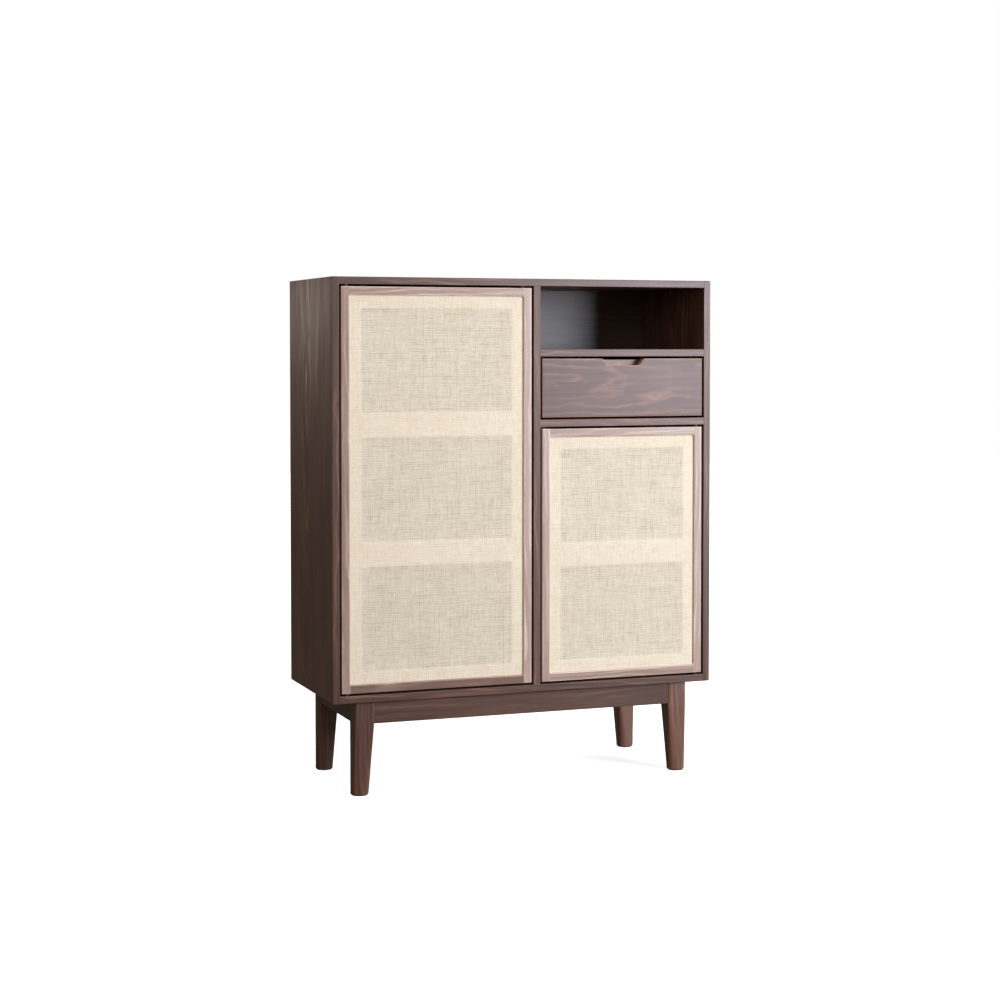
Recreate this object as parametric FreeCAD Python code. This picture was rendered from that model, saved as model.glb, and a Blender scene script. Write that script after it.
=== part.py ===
# Shoe cabinet on legs: two cane doors, one drawer, one open compartment.
# Millimetres, +Z up, +X to the right seen from the front, the front faces -Y.
# The origin is on the floor under the middle of the carcass.
import FreeCAD, Part
import math
import os

V = FreeCAD.Vector
X = V(1, 0, 0)
Y = V(0, 1, 0)
Z = V(0, 0, 1)

# ---- Overall sizes ----
WIDTH = 1000.0
DEPTH = 396.0
BODY_HEIGHT = 1024.0
LEG_HEIGHT = 230.0

# ---- Carcass ----
BOARD = 18.0
RIGHT_BAY_WIDTH = 448.0
DRAWER_OPENING = 156.0
OPEN_COMPARTMENT = 156.0
OUTER_EASE = 2.0
INNER_EASE = 1.0
BACK_THICKNESS = 5.0
BACK_INSET = 10.0
BACK_GROOVE = 6.0
DOWEL_RADIUS = 4.0
DOWEL_IN_FACE = 12.0
DOWEL_IN_END = 18.0
DOWEL_END_INSET = 48.0

# ---- Adjustable shelves ----
LEFT_SHELVES = 3
RIGHT_SHELVES = 2
SHELF_THICKNESS = 16.0
SHELF_SETBACK = 48.0
SHELF_END_GAP = 0.8
SHELF_BACK_GAP = 2.0
PIN_RADIUS = 2.5
PIN_IN_PANEL = 8.0
PIN_UNDER_SHELF = 9.0
PIN_FROM_SHELF_EDGE = 45.0
PIN_PITCH = 32.0

# ---- Doors ----
REVEAL = 5.0
DOOR_THICKNESS = 20.0
FRAME_FACE = 21.0
FRAME_REBATE = 8.0
FRAME_LIP = 6.0
FRAME_OUTER_EASE = 3.5
FRAME_INNER_EASE = 3.0
FRAME_OPENING_RADIUS = 5.0
TENON_LENGTH = 12.0
TENON_HEIGHT = 9.0
TENON_THICKNESS = 8.0
TENON_FROM_EDGE = 3.0
CANE_THICKNESS = 1.2
CANE_FIT = 0.5
CANE_EDGE_BAND = 28.0
CANE_MID_BAND = 56.0
LEFT_MID_BANDS = 2
RIGHT_MID_BANDS = 1
CLIP_WIDTH = 12.0
CLIP_LENGTH = 22.0
CLIP_THICKNESS = 1.2
CLIP_ROWS = (0.2, 0.5, 0.8)

# ---- Door pivots ----
PIVOT_FROM_EDGE = 14.0
PIVOT_FROM_FRONT = 10.0
PIVOT_PIN_RADIUS = 3.0
PIVOT_CLEARANCE = 0.05
PIVOT_AXIAL_GAP = 0.1
PIVOT_PIN_DEPTH = 5.5
LEAF_THICKNESS = 2.5
LEAF_HALF_WIDTH = 7.0
LEAF_REACH = 38.0
LEAF_SCREWS = (15.0, 29.0)
SHOULDER_RADIUS = 6.0

# ---- Push latches ----
LATCH_WIDTH = 16.0
LATCH_HEIGHT = 18.0
LATCH_LENGTH = 72.0
LATCH_AXIS_DROP = 12.0
LATCH_BORE_DEPTH = 48.0
LATCH_STROKE = 3.0
LATCH_MOUTH_GAP = 2.0
LATCH_EASE = 1.5
LATCH_SCREWS_FROM_END = (7.0, 17.0)
PLUNGER_RADIUS = 4.5
PLUNGER_CLEARANCE = 0.1
PLUNGER_LENGTH = 44.0
PLUNGER_TIP_ROUND = 1.0
STRIKE_RADIUS = 6.5
STRIKE_THICKNESS = 1.5
RUNNING_GAP = 0.3

# ---- Drawer ----
DRAWER_FRONT_THICKNESS = 22.0
DRAWER_SIDE = 12.0
DRAWER_INNER_FRONT = 15.0
DRAWER_BACK = 12.0
DRAWER_BOTTOM = 6.0
DRAWER_BOTTOM_RISE = 10.0
DRAWER_GROOVE = 6.0
DRAWER_BOX_RISE = 11.0
DRAWER_BOX_DROP = 3.0
NOTCH_TOP_WIDTH = 114.0
NOTCH_BOTTOM_WIDTH = 90.0
NOTCH_DEPTH = 17.0
NOTCH_CORNER = 8.0
NOTCH_OVERCUT = 5.0
DRAWER_FRONT_EASE = 3.0
FRONT_SCREW_COLUMNS = (-0.3, 0.3)
FRONT_SCREW_ROWS = (0.3, 0.6)
GRIP_LIP = 8.0
GRIP_DEPTH = 14.0
GRIP_RELIEF = 5.0

# ---- Drawer slides (per side) ----
SLIDE_SPACE = 12.7
SLIDE_REAR_GAP = 17.0
SLIDE_FRONT_GAP = 2.0
SLIDE_RISE = 45.0
SLIDE_SHEET = 1.2
SLIDE_SCREWS = (0.1, 0.5, 0.9)
OUTER_HALF_HEIGHT = 22.5
OUTER_REACH = 9.5
MIDDLE_HALF_HEIGHT = 17.4
MIDDLE_START = 2.4
MIDDLE_REACH = 11.0
INNER_HALF_HEIGHT = 12.3
INNER_START = 5.0
BALL_RADIUS = 1.8
BALL_COUNT = 8
RETAINER_LENGTH = 160.0
RETAINER_START = 93.0
RETAINER_SHEET = 0.8
RETAINER_INSET = 1.0

# ---- Base ----
LEG_TOP = 49.0
LEG_SIDE_INSET = 59.5
LEG_FRONT_INSET = 14.0
LEG_TOP_CORNER = 5.0
LEG_STRAIGHT = 60.0
FOOT_DIAMETER = 43.5
FOOT_CORNER = 21.0
FOOT_SPLAY = 7.0
GLIDE_THICKNESS = 3.0
GLIDE_RADIUS = 19.0
GLIDE_PIN_RADIUS = 2.5
GLIDE_PIN_LENGTH = 12.0
APRON_HEIGHT = 55.0
APRON_THICKNESS = 20.0
APRON_SETBACK = 2.5
APRON_TENON_LENGTH = 12.0
APRON_TENON_HEIGHT = 36.0
APRON_TENON_THICKNESS = 8.0
BLOCK_LEG = 74.0
BLOCK_HEIGHT = 40.0
BASE_SCREW_ASIDE = 0.21
BASE_SCREW_INSET = 0.1
BOLT_RADIUS = 4.0
BOLT_IN_LEG = 22.0
BOLT_STICK_OUT = 9.0
NUT_ACROSS = 13.0
NUT_HEIGHT = 6.5
WASHER_RADIUS = 9.0
WASHER_THICKNESS = 1.6

# ---- Screws: shank radius, head radius, head height, length under the surface ----
SCREW_PIVOT = (1.6, 3.2, 2.2, 12.0)
SCREW_SLIDE = (1.5, 2.6, SLIDE_SHEET, 11.0)
SCREW_LATCH = (1.6, 3.2, 2.0, 29.0)
SCREW_BASE = (2.0, 4.0, 2.5, 52.0)
SCREW_CLIP = (1.25, 3.0, 1.2, 13.0)
SCREW_FRONT = (2.0, 4.5, 2.0, 27.0)
SCREW_STRIKE = (1.25, 2.6, STRIKE_THICKNESS, 12.0)

# ---- Places worked out from the sizes above ----
FRONT = -DEPTH / 2
REAR = DEPTH / 2
LEFT = -WIDTH / 2
RIGHT = WIDTH / 2
BODY_BOTTOM = LEG_HEIGHT
BODY_TOP = LEG_HEIGHT + BODY_HEIGHT
FLOOR_TOP = BODY_BOTTOM + BOARD
CEILING = BODY_TOP - BOARD
LEFT_FACE = LEFT + BOARD
RIGHT_FACE = RIGHT - BOARD
DIVIDER_RIGHT = RIGHT_FACE - RIGHT_BAY_WIDTH
DIVIDER_LEFT = DIVIDER_RIGHT - BOARD
UPPER_SHELF_TOP = CEILING - OPEN_COMPARTMENT
UPPER_SHELF_BOTTOM = UPPER_SHELF_TOP - BOARD
LOWER_SHELF_TOP = UPPER_SHELF_BOTTOM - DRAWER_OPENING
LOWER_SHELF_BOTTOM = LOWER_SHELF_TOP - BOARD
BACK_FRONT = REAR - BACK_INSET - BACK_THICKNESS
SHELF_FRONT = FRONT + SHELF_SETBACK
SHELF_REAR = BACK_FRONT - SHELF_BACK_GAP
DOOR_BACK = FRONT + DOOR_THICKNESS
SLIDE_FRONT = FRONT + DRAWER_FRONT_THICKNESS + SLIDE_FRONT_GAP
SLIDE_LENGTH = BACK_FRONT - SLIDE_REAR_GAP - SLIDE_FRONT

nodes = {}


# ---- Small tools ----
def box(x0, x1, y0, y1, z0, z1):
    return Part.makeBox(x1 - x0, y1 - y0, z1 - z0, V(x0, y0, z0))


def rod(radius, start, direction, length):
    return Part.makeCylinder(radius, length, start, direction)


def prism(points, thickness):
    """Solid from a closed outline of points, pushed along the vector thickness."""
    wire = Part.makePolygon(list(points) + [points[0]])
    return Part.Face(wire).extrude(thickness)


def edges_where(shape, test):
    """Edges whose two ends and middle all pass the test."""
    found = []
    for edge in shape.Edges:
        middle = edge.valueAt((edge.FirstParameter + edge.LastParameter) / 2)
        points = [vertex.Point for vertex in edge.Vertexes] + [middle]
        if all(test(point) for point in points):
            found.append(edge)
    return found


def near(a, b):
    return abs(a - b) < 1e-4


def cut_all(shape, tools):
    """Cuts a list of tools, leaving out those that miss the shape's box."""
    reach = shape.BoundBox
    hits = [tool for tool in tools if reach.intersect(tool.BoundBox)]
    return shape.cut(hits) if hits else shape


def keep(name, *shapes):
    nodes[name] = shapes[0] if len(shapes) == 1 else Part.makeCompound(list(shapes))


def countersunk(size, face, direction):
    """Screw whose head lies flush in the surface at face and which points along direction."""
    shank, head, height, length = size
    cone = Part.makeCone(head, shank, height, face, direction)
    return cone.fuse(rod(shank, face, direction, length)).removeSplitter()


def pan_head(size, face, direction):
    """Screw whose head stands on the surface at face and which points along direction."""
    shank, head, height, length = size
    cap = rod(head, face - direction * height, direction, height)
    return cap.fuse(rod(shank, face, direction, length)).removeSplitter()


# ---- Carcass ----
def carcass_envelope():
    """Outer block of the carcass with every outer edge eased."""
    block = box(LEFT, RIGHT, FRONT, REAR, BODY_BOTTOM, BODY_TOP)
    return block.makeFillet(OUTER_EASE, block.Edges)


def eased_board(x0, x1, y0, y1, z0, z1):
    """Board whose long front edges are eased; its grain runs along its longer front side."""
    board = box(x0, x1, y0, y1, z0, z1)
    upright = (z1 - z0) > (x1 - x0)

    def long_front(point):
        on_end = point.x in (x0, x1) if upright else point.z in (z0, z1)
        return near(point.y, y0) and on_end

    return board.makeFillet(INNER_EASE, edges_where(board, long_front))


def panel_blanks():
    sides = {
        "left_side_panel": (LEFT, LEFT_FACE),
        "right_side_panel": (RIGHT_FACE, RIGHT),
    }
    blanks = {}
    for name, (x0, x1) in sides.items():
        blanks[name] = eased_board(x0, x1, FRONT, REAR, BODY_BOTTOM, BODY_TOP)
    blanks["top_panel"] = eased_board(LEFT_FACE, RIGHT_FACE, FRONT, REAR, CEILING, BODY_TOP)
    blanks["bottom_panel"] = eased_board(LEFT_FACE, RIGHT_FACE, FRONT, REAR, BODY_BOTTOM, FLOOR_TOP)
    blanks["divider_panel"] = eased_board(DIVIDER_LEFT, DIVIDER_RIGHT, FRONT, REAR, FLOOR_TOP, CEILING)
    for name, z0 in (("lower_fixed_shelf", LOWER_SHELF_BOTTOM), ("upper_fixed_shelf", UPPER_SHELF_BOTTOM)):
        blanks[name] = eased_board(DIVIDER_RIGHT, RIGHT_FACE, FRONT, BACK_FRONT, z0, z0 + BOARD)
    return blanks


def back_panel():
    return box(
        LEFT_FACE - BACK_GROOVE, RIGHT_FACE + BACK_GROOVE,
        BACK_FRONT, BACK_FRONT + BACK_THICKNESS,
        FLOOR_TOP - BACK_GROOVE, CEILING + BACK_GROOVE,
    )


def back_panel_notch():
    """Way through the divider for the back panel, open to the rear."""
    return box(DIVIDER_LEFT - 1, DIVIDER_RIGHT + 1, BACK_FRONT, REAR + 1, FLOOR_TOP - 1, CEILING + 1)


def carcass_dowels():
    """Dowels across every butt joint, three to a joint."""
    rows = [FRONT + DOWEL_END_INSET, 0.0, BACK_FRONT - DOWEL_END_INSET]
    length = DOWEL_IN_FACE + DOWEL_IN_END
    dowels = []
    board_heights = [
        (LEFT_FACE, 1, [BODY_BOTTOM + BOARD / 2, CEILING + BOARD / 2]),
        (RIGHT_FACE, -1, [BODY_BOTTOM + BOARD / 2, CEILING + BOARD / 2]),
        (DIVIDER_RIGHT, 1, [LOWER_SHELF_BOTTOM + BOARD / 2, UPPER_SHELF_BOTTOM + BOARD / 2]),
        (RIGHT_FACE, -1, [LOWER_SHELF_BOTTOM + BOARD / 2, UPPER_SHELF_BOTTOM + BOARD / 2]),
    ]
    for face, inward, heights in board_heights:
        for z in heights:
            for y in rows:
                start = V(face - inward * DOWEL_IN_FACE, y, z)
                dowels.append(rod(DOWEL_RADIUS, start, X * inward, length))
    middle = (DIVIDER_LEFT + DIVIDER_RIGHT) / 2
    for face, inward in ((FLOOR_TOP, 1), (CEILING, -1)):
        for y in rows:
            start = V(middle, y, face - inward * DOWEL_IN_FACE)
            dowels.append(rod(DOWEL_RADIUS, start, Z * inward, length))
    return dowels


# ---- Adjustable shelves ----
def shelf_levels(bottom, top, count):
    """Undersides of count shelves that share the height equally."""
    gap = (top - bottom - count * SHELF_THICKNESS) / (count + 1)
    return [bottom + gap + index * (gap + SHELF_THICKNESS) for index in range(count)]


def pin_columns():
    return (SHELF_FRONT + PIN_FROM_SHELF_EDGE, SHELF_REAR - PIN_FROM_SHELF_EDGE)


def bay_shelves(x0, x1, bottom, top, count):
    """Shelves, their pins and the rows of pin holes of one bay."""
    shelves = []
    pins = []
    holes = []
    for level in shelf_levels(bottom, top, count):
        shelf = box(
            x0 + SHELF_END_GAP, x1 - SHELF_END_GAP,
            SHELF_FRONT, SHELF_REAR,
            level, level + SHELF_THICKNESS,
        )
        shelves.append(shelf.makeFillet(INNER_EASE, edges_where(shelf, lambda p: near(p.y, SHELF_FRONT))))
        for y in pin_columns():
            for face, inward in ((x0, 1), (x1, -1)):
                centre = V(face, y, level - PIN_RADIUS)
                start = centre - X * inward * PIN_IN_PANEL
                pins.append(rod(PIN_RADIUS, start, X * inward, PIN_IN_PANEL + PIN_UNDER_SHELF))
                for step in (-1, 0, 1):
                    holes.append(rod(PIN_RADIUS, start + Z * step * PIN_PITCH, X * inward, PIN_IN_PANEL))
    return shelves, pins, holes


# ---- Doors, in their own frame: x from the hinge edge, y from the front face, z from the bottom edge ----
def door_ring(width, height):
    """Whole door frame before it is divided into stiles and rails."""
    block = box(0, width, 0, DOOR_THICKNESS, 0, height)
    block = block.makeFillet(FRAME_OUTER_EASE, edges_where(block, lambda p: near(p.y, 0)))
    opening = box(FRAME_FACE, width - FRAME_FACE, -1, DOOR_THICKNESS + 1, FRAME_FACE, height - FRAME_FACE)
    corners = [edge for edge in opening.Edges if near(abs(edge.tangentAt(edge.FirstParameter).y), 1)]
    ring = block.cut(opening.makeFillet(FRAME_OPENING_RADIUS, corners))

    def inner_front(point):
        inside_x = FRAME_FACE - 1 < point.x < width - FRAME_FACE + 1
        inside_z = FRAME_FACE - 1 < point.z < height - FRAME_FACE + 1
        return near(point.y, 0) and inside_x and inside_z

    ring = ring.makeFillet(FRAME_INNER_EASE, edges_where(ring, inner_front))
    edge = FRAME_FACE - FRAME_REBATE
    return ring.cut(box(edge, width - edge, FRAME_LIP, DOOR_THICKNESS + 1, edge, height - edge))


def leaf_outline(x, z0, z1):
    """Pivot leaf: a strip with a round end about the pin, which reaches along +X."""
    y0 = PIVOT_FROM_FRONT - LEAF_HALF_WIDTH
    strip = box(x, x + LEAF_REACH, y0, y0 + 2 * LEAF_HALF_WIDTH, z0, z1)
    round_end = rod(LEAF_HALF_WIDTH, V(x, PIVOT_FROM_FRONT, z0), Z, z1 - z0)
    return strip.fuse(round_end).removeSplitter()


def door_leaves(height):
    """Leaves let into the door's two ends, the screws that hold them and the pockets they need."""
    leaves = []
    screws = []
    pockets = []
    for surface, inward in ((0.0, 1), (height, -1)):
        z0, z1 = sorted((surface, surface + inward * LEAF_THICKNESS))
        centre = V(PIVOT_FROM_EDGE, PIVOT_FROM_FRONT, surface)
        leaf = leaf_outline(PIVOT_FROM_EDGE, z0, z1)
        hole = rod(PIVOT_PIN_RADIUS + PIVOT_CLEARANCE, centre, Z * inward, PIVOT_PIN_DEPTH + 1)
        bolts = [countersunk(SCREW_PIVOT, centre + X * along, Z * inward) for along in LEAF_SCREWS]
        leaves.append(leaf.cut([hole] + bolts))
        screws += bolts
        pockets += [leaf, hole] + bolts
    return leaves, screws, pockets


def clip_ends(screw_at, toward):
    """Two ends of a clip along one axis; toward is 0 across the clip, or the way in which it reaches."""
    if toward == 0:
        return screw_at - CLIP_WIDTH / 2, screw_at + CLIP_WIDTH / 2
    tail = (FRAME_FACE - FRAME_REBATE) / 4
    return sorted((screw_at - toward * tail, screw_at + toward * (CLIP_LENGTH - tail)))


def door_clips(width, height):
    """Clips on the back that hold the cane frame in its rebate, with their screws."""
    edge = (FRAME_FACE - FRAME_REBATE) / 2
    rows = [height * share for share in CLIP_ROWS]
    places = [(edge, z, 1, 0) for z in rows] + [(width - edge, z, -1, 0) for z in rows]
    places += [(width / 2, edge, 0, 1), (width / 2, height - edge, 0, -1)]
    clips = []
    screws = []
    for x, z, toward_x, toward_z in places:
        x0, x1 = clip_ends(x, toward_x)
        z0, z1 = clip_ends(z, toward_z)
        screw = pan_head(SCREW_CLIP, V(x, DOOR_THICKNESS + CLIP_THICKNESS, z), -Y)
        clip = box(x0, x1, DOOR_THICKNESS, DOOR_THICKNESS + CLIP_THICKNESS, z0, z1)
        clips.append(clip.cut(screw))
        screws.append(screw)
    return clips, screws


def inner_frame(width, height, mid_bands):
    """Pale frame behind the cane: two stiles, a top and a bottom rail and the mid rails."""
    edge = FRAME_FACE - FRAME_REBATE + CANE_FIT
    member = FRAME_REBATE - CANE_FIT + CANE_EDGE_BAND
    y0 = FRAME_LIP + CANE_THICKNESS
    left = edge + member
    right = width - edge - member
    low = edge + member
    high = height - edge - member
    bars = [
        (edge, left, edge, height - edge),
        (right, width - edge, edge, height - edge),
        (left, right, edge, low),
        (left, right, high, height - edge),
    ]
    field = (high - low - mid_bands * CANE_MID_BAND) / (mid_bands + 1)
    for index in range(mid_bands):
        z0 = low + field + index * (field + CANE_MID_BAND)
        bars.append((left, right, z0, z0 + CANE_MID_BAND))
    return [box(x0, x1, y0, DOOR_THICKNESS, z0, z1) for x0, x1, z0, z1 in bars]


def strike_disc(width, height):
    """Steel disc on the door's back, where the latch plunger meets it, with its screw."""
    centre = V(width - FRAME_FACE / 2, DOOR_THICKNESS, height + REVEAL - LATCH_AXIS_DROP)
    screw = countersunk(SCREW_STRIKE, centre + Y * STRIKE_THICKNESS, -Y)
    disc = rod(STRIKE_RADIUS, centre, Y, STRIKE_THICKNESS).cut(screw)
    return disc, screw


def build_door(prefix, hinge_x, direction, bottom, width, height, mid_bands):
    """One door; direction is +1 where it reaches to the right of its hinge edge."""
    ring = door_ring(width, height)
    leaves, leaf_screws, pockets = door_leaves(height)
    clips, clip_screws = door_clips(width, height)
    disc, disc_screw = strike_disc(width, height)
    holes = pockets + clip_screws + [disc_screw]

    tenon_y = (DOOR_THICKNESS - TENON_THICKNESS) / 2
    tenon_z = {"bottom": TENON_FROM_EDGE, "top": height - TENON_FROM_EDGE - TENON_HEIGHT}
    tenons = {}
    for rail, z0 in tenon_z.items():
        for x0 in (FRAME_FACE - TENON_LENGTH, width - FRAME_FACE):
            peg = box(x0, x0 + TENON_LENGTH, tenon_y, tenon_y + TENON_THICKNESS, z0, z0 + TENON_HEIGHT)
            tenons.setdefault(rail, []).append(peg)
    all_tenons = tenons["bottom"] + tenons["top"]

    stile_at = {"hinge_stile": 0.0, "free_stile": width - FRAME_FACE}
    parts = {}
    for name, x0 in stile_at.items():
        stile = ring.common(box(x0, x0 + FRAME_FACE, -1, DOOR_THICKNESS + 1, -1, height + 1))
        parts[name] = cut_all(stile.cut(all_tenons), holes)
    rail_depth = FRAME_FACE + FRAME_OPENING_RADIUS
    rail_at = {"bottom": (-1.0, rail_depth), "top": (height - rail_depth, height + 1)}
    for name, (z0, z1) in rail_at.items():
        rail = ring.common(box(FRAME_FACE, width - FRAME_FACE, -1, DOOR_THICKNESS + 1, z0, z1))
        parts[name + "_rail"] = cut_all(rail.fuse(tenons[name]).removeSplitter(), holes)

    edge = FRAME_FACE - FRAME_REBATE + CANE_FIT
    parts["cane"] = box(edge, width - edge, FRAME_LIP, FRAME_LIP + CANE_THICKNESS, edge, height - edge)
    parts["inner_frame"] = Part.makeCompound(inner_frame(width, height, mid_bands))
    parts["pivot_leaves"] = Part.makeCompound(leaves)
    parts["fasteners"] = Part.makeCompound(leaf_screws + clips + clip_screws + [disc, disc_screw])
    for name, shape in parts.items():
        placed = shape if direction > 0 else shape.mirror(V(0, 0, 0), X)
        keep(prefix + "_" + name, placed.translated(V(hinge_x, FRONT, bottom)))


def carcass_pivots(hinge_x, direction, bottom, top):
    """Plates with pins let into the boards under and over a door, their screws and pockets."""
    plates = []
    screws = []
    pockets = []
    for surface, toward_door in ((bottom, 1), (top, -1)):
        z0, z1 = sorted((surface, surface - toward_door * LEAF_THICKNESS))
        leaf = leaf_outline(PIVOT_FROM_EDGE, z0, z1)
        centre = V(PIVOT_FROM_EDGE, PIVOT_FROM_FRONT, surface)
        bolts = [countersunk(SCREW_PIVOT, centre + X * along, Z * -toward_door) for along in LEAF_SCREWS]
        shoulder = rod(SHOULDER_RADIUS, centre, Z * toward_door, REVEAL - PIVOT_AXIAL_GAP)
        pin = rod(PIVOT_PIN_RADIUS, centre, Z * toward_door, REVEAL + PIVOT_PIN_DEPTH)
        plates.append(leaf.cut(bolts).fuse([shoulder, pin]).removeSplitter())
        screws += bolts
        pockets += [leaf] + bolts

    def placed(shape):
        turned = shape if direction > 0 else shape.mirror(V(0, 0, 0), X)
        return turned.translated(V(hinge_x, FRONT, 0))

    return [placed(s) for s in plates], [placed(s) for s in screws], [placed(s) for s in pockets]


# ---- Push latches ----
def push_latch(centre_x, ceiling):
    """Housing under a board with its plunger, and the two screws that hold it."""
    axis_z = ceiling - LATCH_AXIS_DROP
    tip = DOOR_BACK + STRIKE_THICKNESS + RUNNING_GAP
    mouth = tip + LATCH_STROKE + LATCH_MOUTH_GAP
    half = LATCH_WIDTH / 2
    under = ceiling - LATCH_HEIGHT
    housing = box(centre_x - half, centre_x + half, mouth, mouth + LATCH_LENGTH, under, ceiling)
    housing = housing.makeFillet(LATCH_EASE, edges_where(housing, lambda p: near(p.z, under)))
    bore = rod(PLUNGER_RADIUS + PLUNGER_CLEARANCE, V(centre_x, mouth - 1, axis_z), Y, LATCH_BORE_DEPTH + 1)
    screws = []
    for from_end in LATCH_SCREWS_FROM_END:
        head = V(centre_x, mouth + LATCH_LENGTH - from_end, under)
        screws.append(countersunk(SCREW_LATCH, head, Z))
    plunger = rod(PLUNGER_RADIUS, V(centre_x, tip, axis_z), Y, PLUNGER_LENGTH)
    plunger = plunger.makeFillet(PLUNGER_TIP_ROUND, edges_where(plunger, lambda p: near(p.y, tip)))
    return housing.cut([bore] + screws), plunger, screws


# ---- Drawer ----
def notch_profile(middle, top, y0, y1):
    """Finger notch cut down from the top edge: sloping ends, rounded bottom corners."""
    floor = top - NOTCH_DEPTH
    half_top = NOTCH_TOP_WIDTH / 2
    half_bottom = NOTCH_BOTTOM_WIDTH / 2
    slope = (half_top - half_bottom) / NOTCH_DEPTH
    over = NOTCH_OVERCUT
    points = [
        V(middle - half_top - slope * over, y0, top + over),
        V(middle - half_bottom, y0, floor),
        V(middle + half_bottom, y0, floor),
        V(middle + half_top + slope * over, y0, top + over),
    ]
    solid = prism(points, Y * (y1 - y0))

    def bottom_corner(point):
        return near(point.z, floor) and near(abs(point.x - middle), half_bottom)

    return solid.makeFillet(NOTCH_CORNER, edges_where(solid, bottom_corner))


def drawer_front(x0, x1, z0, z1):
    """Front board with a through notch in its top edge and a grip groove behind the notch's lip."""
    middle = (x0 + x1) / 2
    rear = FRONT + DRAWER_FRONT_THICKNESS
    front = box(x0, x1, FRONT, rear, z0, z1)
    front = front.cut(notch_profile(middle, z1, FRONT - 1, rear + 1))

    def front_outline(point):
        return near(point.y, FRONT) and not (near(point.z, z1) and abs(point.x - middle) < 1)

    front = front.makeFillet(DRAWER_FRONT_EASE, edges_where(front, front_outline))
    half = NOTCH_BOTTOM_WIDTH / 2
    floor = z1 - NOTCH_DEPTH
    low = floor - GRIP_DEPTH
    groove = box(middle - half, middle + half, FRONT + GRIP_LIP, rear + 1, low, floor + NOTCH_CORNER)
    ends = edges_where(groove, lambda p: near(p.z, low) and near(abs(p.x - middle), half))
    return front.cut(groove.makeFillet(NOTCH_CORNER, ends))


def build_drawer():
    x0 = DIVIDER_RIGHT + REVEAL
    x1 = RIGHT_FACE - REVEAL
    z0 = LOWER_SHELF_TOP + REVEAL
    z1 = UPPER_SHELF_BOTTOM - REVEAL
    middle = (x0 + x1) / 2
    box_front = FRONT + DRAWER_FRONT_THICKNESS
    box_rear = SLIDE_FRONT + SLIDE_LENGTH
    box_low = z0 + DRAWER_BOX_RISE
    box_high = z1 - DRAWER_BOX_DROP
    side_left = DIVIDER_RIGHT + SLIDE_SPACE
    side_right = RIGHT_FACE - SLIDE_SPACE
    inner_left = side_left + DRAWER_SIDE
    inner_right = side_right - DRAWER_SIDE
    panel_low = box_low + DRAWER_BOTTOM_RISE

    bottom = box(
        inner_left - DRAWER_GROOVE, inner_right + DRAWER_GROOVE,
        box_front + DRAWER_INNER_FRONT - DRAWER_GROOVE, box_rear - DRAWER_BACK + DRAWER_GROOVE,
        panel_low, panel_low + DRAWER_BOTTOM,
    )
    screws = []
    for along in FRONT_SCREW_COLUMNS:
        for height in FRONT_SCREW_ROWS:
            x = middle + along * (x1 - x0)
            z = box_low + height * (box_high - box_low)
            head = V(x, box_front + DRAWER_INNER_FRONT, z)
            screws.append(pan_head(SCREW_FRONT, head, -Y))
    slide_screws = slide_fixings(SLIDE_SPACE - SLIDE_SHEET, 1)
    tools = [bottom] + screws + slide_screws

    half = NOTCH_TOP_WIDTH / 2
    relief_low = z1 - NOTCH_DEPTH - GRIP_DEPTH
    relief_rear = box_front + GRIP_RELIEF
    relief = box(middle - half, middle + half, box_front - 1, relief_rear, relief_low, box_high + 1)
    inner_rear = box_front + DRAWER_INNER_FRONT
    inner_front = box(inner_left, inner_right, box_front, inner_rear, box_low, box_high)
    boards = {
        "drawer_inner_front": inner_front.cut(relief),
        "drawer_back": box(inner_left, inner_right, box_rear - DRAWER_BACK, box_rear, box_low, box_high),
        "drawer_left_side": box(side_left, inner_left, box_front, box_rear, box_low, box_high),
        "drawer_right_side": box(inner_right, side_right, box_front, box_rear, box_low, box_high),
    }
    keep("drawer_front", cut_all(drawer_front(x0, x1, z0, z1), screws))
    for name, board in boards.items():
        keep(name, cut_all(board, tools))
    keep("drawer_bottom", bottom)
    keep("drawer_screws", *(screws + slide_screws))


# ---- Drawer slides: u is the distance from the carcass wall, h the height over the slide's middle ----
def slide_middle_height():
    return LOWER_SHELF_TOP + REVEAL + DRAWER_BOX_RISE + SLIDE_RISE


def slide_sides():
    """Wall plane and direction into the bay of the left and right slides."""
    return ((DIVIDER_RIGHT, 1), (RIGHT_FACE, -1))


def slide_bar(side, u0, u1, h0, h1, y0, y1):
    wall, inward = side
    x0, x1 = sorted((wall + inward * u0, wall + inward * u1))
    middle = slide_middle_height()
    return box(x0, x1, y0, y1, middle + h0, middle + h1)


def channel(side, reach, half_height, sheet, web_at_start, y0, y1):
    """Sheet channel: a web and two flanges; the web is at the start or at the end of its reach."""
    u0, u1 = reach
    web_u = (u0, u0 + sheet) if web_at_start else (u1 - sheet, u1)
    web = slide_bar(side, web_u[0], web_u[1], -half_height, half_height, y0, y1)
    upper = slide_bar(side, u0, u1, half_height - sheet, half_height, y0, y1)
    lower = slide_bar(side, u0, u1, -half_height, -half_height + sheet, y0, y1)
    return web.fuse([upper, lower]).removeSplitter()


def slide_fixings(u_web, toward):
    """Flush screws of one member; toward is +1 when they point away from the carcass wall."""
    screws = []
    for wall, inward in slide_sides():
        for share in SLIDE_SCREWS:
            face = V(wall + inward * u_web, SLIDE_FRONT + share * SLIDE_LENGTH, slide_middle_height())
            screws.append(countersunk(SCREW_SLIDE, face, X * inward * toward))
    return screws


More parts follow.
